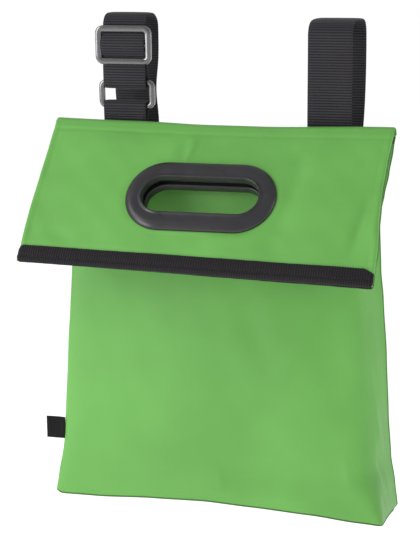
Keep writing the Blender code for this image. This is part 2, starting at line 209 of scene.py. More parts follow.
# ------------------------------------------------------------------ materials
def lin(rgb):
    out = []
    for v in rgb:
        c = v / 255.0
        out.append(c / 12.92 if c <= 0.04045 else ((c + 0.055) / 1.055) ** 2.4)
    return (*out, 1.0)


class Nodes:
    """Short-hand for building one material's node tree."""

    def __init__(self, name):
        self.mat = bpy.data.materials.new(name)
        self.mat.use_nodes = True
        self.t = self.mat.node_tree
        self.shader = self.t.nodes["Principled BSDF"]

    def set(self, **values):
        for key, value in values.items():
            self.shader.inputs[key.replace("_", " ")].default_value = value
        return self

    def node(self, kind, **inputs):
        n = self.t.nodes.new(kind)
        for key, value in inputs.items():
            self.put(n.inputs[key.replace("_", " ")], value)
        return n

    def put(self, socket, value):
        if isinstance(value, bpy.types.NodeSocket):
            self.t.links.new(value, socket)
        else:
            socket.default_value = value

    def uv(self):
        n = self.t.nodes.new("ShaderNodeUVMap")
        n.uv_map = "cloth"
        return n.outputs["UV"]

    def obj(self):
        return self.t.nodes.new("ShaderNodeTexCoord").outputs["Object"]

    def scaled(self, vector, scale, rotation=(0, 0, 0)):
        n = self.node("ShaderNodeMapping", Vector=vector)
        n.inputs["Scale"].default_value = scale if hasattr(scale, "__len__") else (scale,) * 3
        n.inputs["Rotation"].default_value = rotation
        return n.outputs["Vector"]

    def noise(self, vector, scale, detail=2.0, rough=0.5, distortion=0.0):
        n = self.node("ShaderNodeTexNoise", Vector=vector)
        n.inputs["Scale"].default_value = scale
        n.inputs["Detail"].default_value = detail
        n.inputs["Roughness"].default_value = rough
        n.inputs["Distortion"].default_value = distortion
        return n.outputs["Fac"]

    def wave(self, vector, pitch_mm, direction="X", distortion=0.0, profile="SIN"):
        """Bands with the given pitch, over a coordinate in metres."""
        n = self.node("ShaderNodeTexWave", Vector=vector)
        n.wave_type = "BANDS"
        n.bands_direction = direction
        n.wave_profile = profile
        n.inputs["Scale"].default_value = 314.159 / pitch_mm
        n.inputs["Distortion"].default_value = distortion
        n.inputs["Detail"].default_value = 1.0
        n.inputs["Detail Scale"].default_value = 1.0
        return n.outputs["Fac"]

    def math(self, op, a, b=0.0, c=0.0):
        n = self.t.nodes.new("ShaderNodeMath")
        n.operation = op
        self.put(n.inputs[0], a)
        self.put(n.inputs[1], b)
        self.put(n.inputs[2], c)
        return n.outputs[0]

    def ramp(self, value, lo, hi, a, b):
        n = self.node("ShaderNodeMapRange", Value=value)
        for key, v in (("From Min", lo), ("From Max", hi), ("To Min", a), ("To Max", b)):
            n.inputs[key].default_value = v
        return n.outputs["Result"]

    def mix(self, factor, a, b):
        n = self.t.nodes.new("ShaderNodeMix")
        n.data_type = "RGBA"
        self.put(n.inputs["Factor"], factor)
        self.put(n.inputs[6], a)
        self.put(n.inputs[7], b)
        return n.outputs[2]

    def bump(self, height, distance_mm, strength=1.0, normal=None):
        n = self.node("ShaderNodeBump", Height=height)
        n.inputs["Distance"].default_value = distance_mm * 0.001
        n.inputs["Strength"].default_value = strength
        if normal is not None:
            self.put(n.inputs["Normal"], normal)
        return n.outputs["Normal"]

    def out(self, socket, value):
        self.put(self.shader.inputs[socket], value)
        return self


def fabric(name, rgb, painted_shade=1.0, rough=0.46):
    """Coated plain-weave polyester: fine weave, faint mottling and a soft satin sheen."""
    m = Nodes(name)
    uv, obj = m.uv(), m.obj()
    warp = m.wave(uv, 0.82, "X")
    weft = m.wave(uv, 0.74, "Y")
    over = m.math("MAXIMUM", warp, weft)
    cell = m.math("MULTIPLY", warp, weft)
    weave = m.math("ADD", m.math("MULTIPLY", over, 0.6), m.math("MULTIPLY", cell, 0.4))
    slub = m.noise(m.scaled(uv, (90, 900, 1)), 1.0, 2.0)
    mottle = m.noise(obj, 9.0, 3.0, 0.55)
    fine = m.noise(obj, 240.0, 3.0, 0.6)
    # a factor below 1 darkens the whole cloth, as painted shade
    light = lin([min(255, c * 1.035 * painted_shade) for c in rgb])
    dark = lin([c * 0.955 * painted_shade for c in rgb])
    tone = m.ramp(mottle, 0.32, 0.68, 0.0, 1.0)
    colour = m.mix(tone, dark, light)
    thread = m.mix(m.ramp(m.math("ADD", weave, m.math("MULTIPLY", slub, 0.25)), 0.3, 1.2, 0.24, 0.0),
                   colour, lin([c * 0.72 * painted_shade for c in rgb]))
    m.out("Base Color", thread)
    m.out("Roughness", m.ramp(m.math("ADD", mottle, m.math("MULTIPLY", fine, 0.4)), 0.4, 1.0, rough - 0.05, rough + 0.07))
    crinkle = m.noise(m.scaled(obj, (1.0, 1.0, 0.7)), 34.0, 4.0, 0.55, 0.3)
    first = m.bump(crinkle, 0.9, 0.22)
    second = m.bump(weave, 0.10, 0.55, first)
    m.out("Normal", m.bump(fine, 0.12, 0.25, second))
    m.set(Specular_IOR_Level=0.32, Sheen_Weight=0.03, Sheen_Roughness=0.45)
    m.shader.inputs["Sheen Tint"].default_value = lin([230, 245, 220])
    return m.mat


def tape(name, rgb, pitch, direction, rough=0.72, cross=0.9, depth=0.22):
    """Ribbed woven tape, with painted shade in the rib grooves and painted highlights on the rib crests."""
    m = Nodes(name)
    uv, obj = m.uv(), m.obj()
    rib = m.wave(uv, pitch, direction, 0.15)
    other = m.wave(uv, cross, "Y" if direction == "X" else "X", 0.1)
    fuzz = m.noise(obj, 700.0, 3.0, 0.65)
    wear = m.noise(obj, 30.0, 3.0, 0.6)
    # painted shade in the rib grooves and painted highlights on the crests, over the ribs' real bump
    colour = m.mix(m.ramp(rib, 0.1, 0.9, 0.0, 1.0), lin([c * 0.5 for c in rgb]), lin([c * 1.3 for c in rgb]))
    colour = m.mix(m.ramp(other, 0.0, 0.6, 0.28, 0.0), colour, lin([c * 0.7 for c in rgb]))
    colour = m.mix(m.ramp(fuzz, 0.55, 0.8, 0.0, 0.25), colour, lin([min(255, c * 1.7) for c in rgb]))
    m.out("Base Color", colour)
    m.out("Roughness", m.ramp(wear, 0.35, 0.7, rough - 0.06, rough + 0.08))
    first = m.bump(rib, depth, 0.8)
    second = m.bump(other, 0.10, 0.6, first)
    m.out("Normal", m.bump(fuzz, 0.10, 0.4, second))
    m.set(Sheen_Weight=0.08, Sheen_Roughness=0.5, Specular_IOR_Level=0.22)
    return m.mat


def plastic(name, rgb, rough, grain, coat=0.0, coat_ior=1.5):
    """Moulded plastic with a faint grain and random smears in tone and roughness."""
    m = Nodes(name)
    obj = m.obj()
    smear = m.noise(obj, 45.0, 4.0, 0.6)
    speck = m.noise(obj, 900.0, 2.0, 0.5)
    colour = m.mix(m.ramp(smear, 0.35, 0.7, 0.0, 1.0), lin([c * 0.9 for c in rgb]), lin([c * 1.12 for c in rgb]))
    m.out("Base Color", colour)
    m.out("Roughness", m.ramp(smear, 0.3, 0.75, rough - 0.05, rough + 0.09))
    m.out("Normal", m.bump(speck, grain, 0.5))
    m.set(Specular_IOR_Level=0.5 + 0.5 * (coat_ior > 1.6), Coat_Weight=coat, Coat_Roughness=0.12, Coat_IOR=coat_ior)
    return m.mat


def thread_material(name, rgb):
    m = Nodes(name)
    obj = m.obj()
    twist = m.noise(obj, 1500.0, 2.0, 0.5)
    m.out("Base Color", m.mix(m.ramp(twist, 0.35, 0.65, 0.0, 1.0), lin([c * 0.8 for c in rgb]), lin([min(255, c * 1.12) for c in rgb])))
    m.out("Normal", m.bump(twist, 0.1, 0.5))
    m.set(Roughness=0.6, Sheen_Weight=0.2)
    return m.mat


GREEN = (107, 175, 82)
body_green = fabric("green_fabric", GREEN)
# the flap: the body's own fabric, made a few percent brighter as painted light
flap_green_painted_light = fabric("green_fabric_flap_painted_light", (110, 180, 85))
# the inner layer, the inside of the fold and the gussets between the layers: the same fabric, rougher and darkened 6%
# as painted shade
inner_green_painted_shade = fabric("green_fabric_inner_painted_shade", GREEN, 0.94, 0.55)
binding_black = tape("binding_tape", (24, 20, 24), 2.3, "Y", 0.6, 1.1, 0.4)
webbing_black = tape("webbing", (43, 41, 46), 2.5, "Y", 0.7, 1.1, 0.25)
grip_black = plastic("grip_plastic", (42, 40, 43), 0.3, 0.03)
# the rear frames: the grips' own black plastic, darkened as painted shade in the bore
grip_rear_painted_shade = plastic("grip_plastic_rear_painted_shade", (17, 16, 18), 0.5, 0.05)
buckle_black = plastic("buckle_plastic", (42, 42, 43), 0.2, 0.01, 0.9, 1.7)
label_black = tape("label_weave", (12, 12, 13), 0.7, "Y", 0.8, 0.6, 0.06)
green_thread = thread_material("green_thread", (104, 166, 86))
black_thread = thread_material("black_thread", (34, 32, 37))
tack_thread = thread_material("tack_thread", (78, 72, 80))


def dress(ob, mat, body=None, replaces=()):
    ob.data.materials.clear()
    ob.data.materials.append(mat)
    if replaces:
        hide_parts(*replaces)
    if body:
        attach(ob, body)
    return ob


# ------------------------------------------------------------------ stitches
def stitches(name, points, up, length=2.6, gap=1.0, radius=0.28, proud=0.12, zigzag=0.0):
    """A row of thread stitches along points (mm); up are the surface normals there."""
    P = np.asarray(points, float)
    U = np.asarray(up, float)
    if U.ndim == 1:
        U = np.tile(U, (len(P), 1))
    run = np.concatenate([[0], np.cumsum(np.linalg.norm(np.diff(P, axis=0), axis=1))])

    def sample(s):
        p = np.array([np.interp(s, run, P[:, k]) for k in range(3)])
        u = np.array([np.interp(s, run, U[:, k]) for k in range(3)])
        return p, u / max(np.linalg.norm(u), 1e-9)

    verts, faces = [], []
    s = gap * 0.5
    n = 0
    while s + length < run[-1]:
        a, u = sample(s)
        b, _ = sample(s + length)
        mid, _ = sample(s + length / 2)
        d = b - a
        d = d / np.linalg.norm(d)
        side = np.cross(d, u)
        side /= np.linalg.norm(side)
        shift = zigzag * (1 if n % 2 else -1)
        base = len(verts)
        rings = 5
        for k in range(rings):
            t = k / (rings - 1)
            centre = a + (b - a) * t + u * (proud + radius * (0.25 + 0.9 * math.sin(math.pi * t)) - radius * 0.55)
            centre = centre + side * shift * (2 * t - 1)
            r = radius * (0.35 + 0.65 * math.sin(math.pi * min(max(t, 0.12), 0.88)))
            for q in range(6):
                ang = 2 * math.pi * q / 6
                verts.append(centre + side * r * math.cos(ang) + u * r * 0.8 * math.sin(ang))
        for k in range(rings - 1):
            for q in range(6):
                q1 = (q + 1) % 6
                faces.append([base + k * 6 + q, base + k * 6 + q1, base + (k + 1) * 6 + q1, base + (k + 1) * 6 + q])
        faces.append([base + q for q in range(5, -1, -1)])
        faces.append([base + (rings - 1) * 6 + q for q in range(6)])
        s += length + gap
        n += 1
    return mesh_object(name, verts, faces)


# ------------------------------------------------------------------ body of the bag
BACK_HALF = [(0.0, 163.6), (-20.0, 160.6), (-43.0, 156.7), (-62.0, 152.7), (-76.0, 149.9), (-92.0, 148.6),
             (-134.0, 149.9), (-162.0, 152.4), (-216.0, 155.7), (-273.0, 157.9), (-315.0, 160.6), (-342.0, 164.7),
             (-366.0, 167.4)]
FRONT_LEFT = [(-8.0, 163.0), (-105.0, 152.5), (-216.0, 151.3), (-300.0, 152.4), (-340.0, 157.0), (-366.0, 157.6)]
FRONT_RIGHT = [(-8.0, 161.0), (-105.0, 147.0), (-216.0, 149.0), (-315.0, 156.0), (-345.0, 161.5), (-366.0, 164.8)]
CREASE = [(-8.0, 31.0), (-70.0, 27.0), (-120.0, 18.0), (-200.0, 7.0), (-300.0, 2.5), (-366.0, 1.0)]
FRONT_TOP = -18.0
BASE_EDGE = [(-165.0, -358.0), (-113.0, -357.4), (-60.0, -354.6), (-6.0, -353.2), (40.0, -355.0), (97.0, -357.6),
             (140.0, -361.0), (168.0, -362.2)]


def front_y(z):
    t = np.clip((FRONT_TOP - np.asarray(z, float)) / 346.0, 0, 1.02)
    return -13.0 - 51.0 * (0.55 * t + 0.45 * np.sin(math.pi * t / 2))


def wrap_section(z, nf=84, ng=26):
    """The closed part of one cross-section: left gusset, front, right gusset."""
    wb, yf = float(between(z, BACK_HALF)), float(front_y(z))
    wl, wr = float(between(z, FRONT_LEFT)), float(between(z, FRONT_RIGHT))
    yb = 0.2
    c = float(between(z, CREASE))
    u = np.linspace(0, 1, ng, endpoint=False)
    vee = 1 - np.abs(2 * u - 1)
    left = np.stack([-(wb + (wl - wb) * u - c * vee), yb + (yf - yb) * u], -1)
    x = np.linspace(-wl, wr, nf)
    front = np.stack([x, np.full(nf, yf)], -1)
    right = np.stack([wb + (wr - wb) * u - c * vee, yb + (yf - yb) * u], -1)[::-1]
    return np.concatenate([left, front, right])


def smooth_path(Q, sigma, passes=1):
    """Gaussian smoothing of an open path with its ends held."""
    n = int(3 * sigma) + 1
    k = np.exp(-0.5 * (np.arange(-n, n + 1) / sigma) ** 2)
    k /= k.sum()
    out = Q.copy()
    for _ in range(passes):
        ext = np.concatenate([2 * out[0] - out[n:0:-1], out, 2 * out[-1] - out[-2:-n - 2:-1]])
        out = np.stack([np.convolve(ext[:, i], k, mode="valid") for i in range(Q.shape[1])], -1)
    out[0], out[-1] = Q[0], Q[-1]
    return out


def resample(Q, count):
    run = np.concatenate([[0], np.cumsum(np.linalg.norm(np.diff(Q, axis=0), axis=1))])
    s = np.linspace(0, run[-1], count)
    return np.stack([np.interp(s, run, Q[:, i]) for i in range(Q.shape[1])], -1)


def make_body():
    zs = np.concatenate([np.linspace(-15.0, -340.0, 104), np.linspace(-343.0, -366.0, 16)])
    cols = 210
    P = np.zeros((len(zs), cols, 3))
    for i, z in enumerate(zs):
        q = resample(wrap_section(z), 440)
        sigma = float(np.interp(z, [-366, -354, -330, -250, -120, -40, -15], [1.6, 4.0, 8.0, 12.0, 11.0, 6.0, 3.0]))
        fine = smooth_path(q, sigma)
        wide = smooth_path(q, float(np.interp(z, [-366, -350, -320, -230, -110, -50], [1.6, 7.0, 19.0, 27.0, 20.0, 9.0])))
        w = ease((q[:, 0] - 20.0) / 90.0)[:, None] * ease(-q[:, 1:2] / 14.0)
        q = resample(fine + (wide - fine) * w, cols)
        P[i, :, :2] = q
        P[i, :, 2] = z
    # outward normals of the sections, in the xy plane
    d = np.gradient(P[:, :, :2], axis=1)
    N = np.stack([d[..., 1], -d[..., 0]], -1)
    N /= np.linalg.norm(N, axis=-1, keepdims=True) + 1e-9
    x, y, z = P[..., 0].copy(), P[..., 1].copy(), P[..., 2].copy()
    fy = -front_y(z)
    front = ease((-y - 0.55 * fy) / (0.35 * fy))                      # 1 on the front, 0 at the back
    v = np.clip((z + 15.0) / -350.0, 0, 1)
    # front camber and the soft forms of hanging cloth
    push = 6.5 * front * np.sin(v * math.pi) ** 0.8 * np.clip(1 - (x / 150.0) ** 2, 0, 1)
    dist, t = line_dist(x, z, 112.0, -130.0, 128.0, -345.0)
    push -= 6.0 * bump(dist, 25.0) * front * np.sin(math.pi * np.clip(t, 0.05, 0.95)) ** 0.6
    dist, t = line_dist(x, z, 62.0, -170.0, 70.0, -330.0)
    push += 1.8 * bump(dist, 26.0) * front * np.sin(math.pi * np.clip(t, 0.05, 0.95)) ** 0.6
    dist, t = line_dist(x, z, 130.0, -318.0, 10.0, -336.0)
    push -= 6.0 * bump(dist, 17.0) * front * np.sin(math.pi * t) ** 0.7
    dist, t = line_dist(x, z, -120.0, -352.0, -30.0, -325.0)
    push -= 1.4 * bump(dist, 14.0) * front * np.sin(math.pi * t)
    dist, t = line_dist(x, z, -60.0, -120.0, -100.0, -230.0)
    push -= 1.0 * bump(dist, 20.0) * front * np.sin(math.pi * t)
    dist, t = line_dist(x, z, 20.0, -130.0, 60.0, -240.0)
    push -= 0.8 * bump(dist, 16.0) * front * np.sin(math.pi * t)
    push += front * (0.9 * ripple(x, z * 0.45, 110.0, 1) + 0.30 * ripple(x, z * 0.6, 38.0, 2))
    side = 1 - front
    push += side * np.clip(-y / 30.0, 0, 1) * (1.0 * ripple(z * 0.8, y * 2, 60.0, 3) + 0.4 * ripple(z, y * 2, 24.0, 4))
    fade = ease(-y / 6.0)                               # the back seam stays put
    P[..., :2] += N * (push * fade * ease((z + 366.0) / 16.0))[..., None]
    # lower edge: one smooth line, lifted in the middle and lower on the right
    low = np.clip((-290.0 - z) / 76.0, 0, 1) ** 1.6
    P[..., 2] += low * (along(x, BASE_EDGE) + 366.0) * np.clip(-y / 64.0, 0, 1)
    P[..., 2] += low * 3.2 * ease((-152.0 - x) / 6.0) * ease((-y - 30.0) / 30.0)
    return P


BODY = make_body()
wrap = grid_object("front_and_side_cloth", BODY, flip=True)
solid(wrap, 0.7)
dress(wrap, body_green, "bag", ("front_panel", "left_side_gusset", "right_side_gusset"))

# back panel, a little proud where the loops are sewn on
zs = np.linspace(-6.0, -366.0, 100)
us = np.linspace(-1, 1, 90)
Z, U = np.meshgrid(zs, us, indexing="ij")
X = U * (between(Z, BACK_HALF) + 0.1)
Y = 0.7 + 0.5 * ripple(X, Z, 90.0, 5) * ease((1 - np.abs(U)) * 9) * ease((Z + 366) / 20) * ease((-Z - 6) / 30)
Y += 0.35 * (bump(np.abs(X) - 100, 34) * bump(Z + 116, 9))
BACK = np.stack([X, Y, Z], -1)
back = grid_object("back_cloth", BACK)
solid(back, 0.7)
dress(back, body_green, "bag", ("back_panel",))

# bottom, from the wrap's lower edge to the back panel's
ring = BODY[-1]
n_ring = len(ring)
rows = []
spine = np.stack([ring[:, 0] * 0.86, np.interp(ring[:, 1], [-64, 0], [-34, -30]), np.full(n_ring, -364.0)], -1)
for k in range(9):
    t = k / 8.0
    p = ring * (1 - t) + spine * t
    p[:, 2] = ring[:, 2] * (1 - ease(t)) + (-364.0) * ease(t)
    rows.append(p)
bottom_front = np.array(rows)
back_edge = np.stack([np.linspace(-166.5, 166.5, n_ring), np.full(n_ring, 0.3), np.full(n_ring, -365.8)], -1)
rows2 = [bottom_front[-1] * (1 - t) + back_edge * t for t in np.linspace(0, 1, 9)[1:]]
BOTTOM = np.concatenate([bottom_front, np.array(rows2)])
bottom = grid_object("bottom_cloth", BOTTOM, flip=True)
solid(bottom, 0.7)
dress(bottom, body_green, "bag", ("bottom_panel",))


def welt(name, path, outward, width, body, mat, thick=1.2):
    """The narrow rim of a turned seam, standing out along path."""
    P = np.asarray(path, float)
    O = np.asarray(outward, float)
    if O.ndim == 1:
        O = np.tile(O, (len(P), 1))
    tang = np.gradient(P, axis=0)
    tang /= np.linalg.norm(tang, axis=1, keepdims=True)
    side = np.cross(tang, O)
    side /= np.linalg.norm(side, axis=1, keepdims=True)
    prof = [(-0.6, 0.45), (width * 0.5, 0.5), (width * 0.85, 0.42), (width, 0.2), (width + 0.05, 0.0),
            (width, -0.2), (width * 0.85, -0.42), (width * 0.5, -0.5), (-0.6, -0.45)]
    G = np.stack([P + O * a + side * b * thick for a, b in prof], 1)
    ob = grid_object(name, G, close_u=True, caps=True)
    return dress(ob, mat, body)


# the turned seams: down both back edges and round the bottom; the back edges' cloth is the body's fabric darkened as
# painted shade in the seam
seam_green_painted_shade = fabric("green_seam_painted_shade", tuple(c * 0.8 for c in GREEN))
for side, tag in ((-1, "left"), (1, "right")):
    zz = np.linspace(-8.0, -365.0, 120)
    xx = side * (between(zz, BACK_HALF) + 0.1)
    path = np.stack([xx, np.full_like(zz, 0.4), zz], -1)
    welt(tag + "_back_seam", path, (side, 0.0, 0.0), 0.75, "bag", seam_green_painted_shade, 1.3)
edge = BODY[-1, 6:-6]
low_path = resample(edge, 160) + [0, 0, -0.1]
# the bottom seam's cloth is the body's fabric darkened further, as painted shade where the front turns under
base_seam_painted_shade = fabric("green_base_seam_painted_shade", tuple(c * 0.62 for c in GREEN))
welt("bottom_front_seam", low_path, (0.0, -0.1, -0.995), 0.8, "bag", base_seam_painted_shade, 1.1)


# ------------------------------------------------------------------ the folded-over top
def flap_point(x, s, n):
    """A point of the flap: s down the flap from the fold's axis, n out of it."""
    x, s, n = np.broadcast_arrays(np.asarray(x, float), np.asarray(s, float), np.asarray(n, float))
    y = FOLD[0] + s * T_DIR[0] + n * N_DIR[0]
    z = FOLD[1] + s * T_DIR[1] + n * N_DIR[1]
    return np.stack([x, y, z], -1)


def grip_mask(x, s, reach=6.0):
    """0 on and close round the grip, where its frames hold the cloth flat, else 1."""
    r = np.hypot(np.maximum(np.abs(x - GRIP_X) - 36.0, 0), s - GRIP_S)
    return ease((r - 35.5) / reach)


LEFT_EDGE = [(0.0, -164.4), (30.0, -165.2), (60.0, -166.6), (100.0, -168.0), (162.0, -168.6)]
RIGHT_EDGE = [(0.0, 163.6), (30.0, 161.4), (60.0, 160.8), (90.0, 162.2), (120.0, 164.8), (145.0, 165.0), (162.0, 164.6)]


def flap_x(u, s):
    """Across the flap: u from -1 at its left edge to 1 at its right edge."""
    lo, hi = along(s, LEFT_EDGE), along(s, RIGHT_EDGE)
    return lo + (hi - lo) * (u + 1) / 2


def hang(x, s):
    """The mouth edge hangs a little lower on the right and higher on the left."""
    return 0.0225 * (x + 8.0) * np.clip(s / FLAP_END, 0, 1) ** 1.3


def lift(x, s):
    """Both ends of the fold stand a little higher."""
    left = 2.6 * np.clip((-x - 30.0) / 135.0, 0, 1) * ease((70.0 - s) / 70.0)
    return left + 1.4 * ease((x - 70.0) / 80.0) * ease((60.0 - s) / 60.0)


def outer_n(x, s):
    """Height of the outer layer's cloth over the flap's plane through the fold's axis."""
    v = np.clip(s / FLAP_END, 0, 1)
    n = 7.6 + 1.6 * 4 * v * (1 - v) - 1.2 * ease((s - 112.0) / 40.0)
    w = 1.0 * ripple(x, s * 0.8, 95.0, 6) + 0.35 * ripple(x, s, 34.0, 7)
    d, t = line_dist(x, s, -20.0, 8.0, -27.0, 40.0)
    w += 2.2 * bump(d, 3.2) * np.sin(math.pi * np.clip(t, 0.08, 0.92))
    d, t = line_dist(x, s, -28.0, 12.0, -35.0, 38.0)
    w -= 1.3 * bump(d, 5.0) * np.sin(math.pi * t)
    d, t = line_dist(x, s, 90.0, 16.0, 68.0, 124.0)
    w -= 2.9 * bump(d, 10.0) * np.sin(math.pi * np.clip(t, 0.1, 0.9))
    d, t = line_dist(x, s, 104.0, 8.0, 84.0, 60.0)
    w += 1.3 * bump(d, 8.0) * np.sin(math.pi * np.clip(t, 0.1, 0.9))
    d, t = line_dist(x, s, 152.0, 60.0, 140.0, 136.0)
    w -= 2.2 * bump(d, 5.5) * np.sin(math.pi * np.clip(t, 0.05, 0.95))
    d, t = line_dist(x, s, 161.0, 70.0, 158.0, 130.0)
    w += 1.2 * bump(d, 5.0) * np.sin(math.pi * np.clip(t, 0.05, 0.95))
    d, t = line_dist(x, s, -150.0, 118.0, -118.0, 135.0)
    w -= 1.4 * bump(d, 9.0) * np.sin(math.pi * t)
    d, t = line_dist(x, s, -158.0, 60.0, -120.0, 92.0)
    w += 0.8 * bump(d, 12.0) * np.sin(math.pi * t)
    w *= grip_mask(x, s)
    w *= ease((W_HALF - np.abs(x)) / 9.0 + 0.2)                     # calm at the side seams
    w *= ease((s - 2.0) / 20.0) * (0.35 + 0.65 * ease((144.0 - s) / 24.0))
    n = n + w
    n -= 0.4 * bump(s - 8.0, 1.7) * ease((s + 2) / 8)                  # the line along the fold
    n += 0.22 * bump(s - 4.5, 2.4)
    edge = np.minimum(x - along(s, LEFT_EDGE), along(s, RIGHT_EDGE) - x)
    n += 0.25 * bump(edge - 3.0, 2.0) - 0.14 * bump(edge - 6.8, 1.5)    # the turned side seams
    n -= 2.2 * np.clip(1 - edge / 1.6, 0, 1) ** 2                      # and their rolled edges
    n -= 0.7 * bump(s - 137.3, 2.0)                                    # pulled in by the binding
    return n


def stadium(r, count, a=None):
    """Points of a round-ended slot of end radius r, evenly spaced in angle and run. The
    grip's outside is a little rounder than its opening."""
    a = 37.0 - 2.0 * (r - 18.5) / 17.5 if a is None else a
    per = 2 * a * 2 + 2 * math.pi * r
    out = []
    for k in range(count):
        s = per * k / count
        if s < a:
            p = (s, r)
        elif s < a + math.pi * r:
            q = (s - a) / r
            p = (a + r * math.sin(q), r * math.cos(q))
        elif s < 3 * a + math.pi * r:
            p = (a - (s - a - math.pi * r), -r)
        elif s < 3 * a + 2 * math.pi * r:
            q = (s - 3 * a - math.pi * r) / r
            p = (-a - r * math.sin(q), -r * math.cos(q))
        else:
            p = (-a + (s - 3 * a - 2 * math.pi * r), r)
        out.append(p)
    return np.array(out)


def cut_hole(ob, r, n_low, n_high):
    """Cuts the grip's slot through a cloth, with the exact Boolean."""
    ring = stadium(r, 72)
    v = []
    for n in (n_low, n_high):
        v.append(flap_point(GRIP_X + ring[:, 0], GRIP_S - ring[:, 1], np.full(len(ring), n)))
    v = np.concatenate(v)
    m = len(ring)
    f = [[i, (i + 1) % m, m + (i + 1) % m, m + i] for i in range(m)]
    f += [list(range(m))[::-1], list(range(m, 2 * m))]
    tool = mesh_object("slot_tool", v, f, smooth=False)
    bm = bmesh.new()
    bm.from_mesh(tool.data)
    bmesh.ops.recalc_face_normals(bm, faces=bm.faces)
    bm.to_mesh(tool.data)
    bm.free()
    mod = ob.modifiers.new("slot", "BOOLEAN")
    mod.operation = "DIFFERENCE"
    mod.solver = "EXACT"
    mod.object = tool
    apply(ob)
    bpy.data.objects.remove(tool, do_unlink=True)
    return ob


FOLD_R = 8.6


def fold_arc(x, angle, radius):
    """Round the fold: angle 0 faces back, and the flap's own normal is at 180 - 43."""
    y = FOLD[0] + radius * np.cos(angle)
    z = FOLD[1] + radius * np.sin(angle)
    x, y, z = np.broadcast_arrays(np.asarray(x, float), y, z)
    return np.stack([x, y, z], -1)


FLAP_ANGLE = math.pi - TILT


def make_outer():
    cols = 176
    u = np.linspace(-1, 1, cols)
    # closer rows and columns where the edges roll over
    u = np.sign(u) * (1 - (1 - np.abs(u)) ** 1.25)
    rows = []
    for z in np.linspace(-34.0, -10.0, 7):                            # laps over the back panel
        x = u * (float(between(z, BACK_HALF)) + 0.5) - 0.2 * (z + 34) / 24
        y = np.full(cols, 1.95 + 0.6 * (z + 34) / 24)
        rows.append(np.stack([x, y, z + lift(x, 0.0) * (z + 34) / 24], -1))
    for a in np.linspace(0.0, FLAP_ANGLE, 18):
        t = a / FLAP_ANGLE
        x = flap_x(u, 0.0)
        r = FOLD_R + (float(7.6) - FOLD_R) * t + 0.25 * ripple(u * 160, np.full(cols, 5.0), 120.0, 8) * math.sin(math.pi * t)
        edge = np.minimum(x + 164.4, 163.6 - x)
        r = r - 1.2 * np.clip(1 - edge / 1.6, 0, 1) ** 2 * t
        sag = -(1.2 * bump(x + 12, 40) + 1.2 * bump(x - 46, 34)) * math.sin(math.pi * t)
        p = fold_arc(x, np.full(cols, a), r)
        p[:, 2] += sag + lift(x, 0.0)
        rows.append(p)
    ss = np.concatenate([np.linspace(1.2, 22, 16), np.linspace(24, FLAP_END, 76)])
    for s in ss:
        x = flap_x(u, s)
        q = flap_point(x, s + hang(x, s), outer_n(x, np.full(cols, s)))
        q[:, 2] += lift(x, s)
        rows.append(q)
    return np.array(rows)


OUTER = make_outer()
outer = grid_object("outer_flap_cloth", OUTER)
solid(outer, 0.7)
cut_hole(outer, 20.0, -3.0, 20.0)
dress(outer, flap_green_painted_light, None, ("outer_flap_panel",))
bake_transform(outer)


def inner_n(x, s):
    w = 0.8 * ripple(x, s, 90.0, 9) + 0.3 * ripple(x, s, 40.0, 10)
    w = w * grip_mask(x, s) * ease((W_HALF - np.abs(x)) / 18.0) * ease((s - 22) / 20.0) * ease((136 - s) / 20.0)
    return -5.4 + w + 3.0 * ease((s - 112.0) / 22.0)


def inner_hang(x, s):
    return hang(x, s) + 1.3 * (x / 165.0) * np.clip(s / FLAP_END, 0, 1)


# inner layer: a short piece round the inside of the fold, then the sheet down to the mouth
cols = 110
u = np.linspace(-1, 1, cols)
rows = []
for z, y in ((-40.0, -15.6), (-34.0, -14.6), (-28.0, -13.6), (-22.0, -12.7), (-17.5, -12.1), (-14.5, -12.6), (-14.6, -14.4)):
    rows.append(np.stack([u * 157.0 - 2.0, np.full(cols, y), np.full(cols, z)], -1))
for s in (18.5, 21.0, 24.0, 27.0):
    rows.append(flap_point(u * 157.0 - 2.0, np.full(cols, s), np.full(cols, -4.9)))
inner_fold = grid_object("inner_fold_cloth", np.array(rows))
subdivide(inner_fold, 1)
solid(inner_fold, 0.7)
dress(inner_fold, inner_green_painted_shade, None)
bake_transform(inner_fold)

rows = []
u = np.linspace(-1, 1, 150)
for s in np.linspace(23.0, INNER_END - 0.5, 78):
    x = flap_x(u * 0.99, s)
    rows.append(flap_point(x, s + inner_hang(x, s), inner_n(x, np.full(len(u), s))))
INNER = np.array(rows)
inner = grid_object("inner_flap_cloth", INNER)
solid(inner, 0.7)
cut_hole(inner, 20.0, -16.0, 3.0)
dress(inner, inner_green_painted_shade, None, ("inner_flap_panel",))
tuple(row(flap_point(0, 19.0, -5.5)))
tuple(row(flap_point(0, 34.0, -5.5)))
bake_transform(inner)

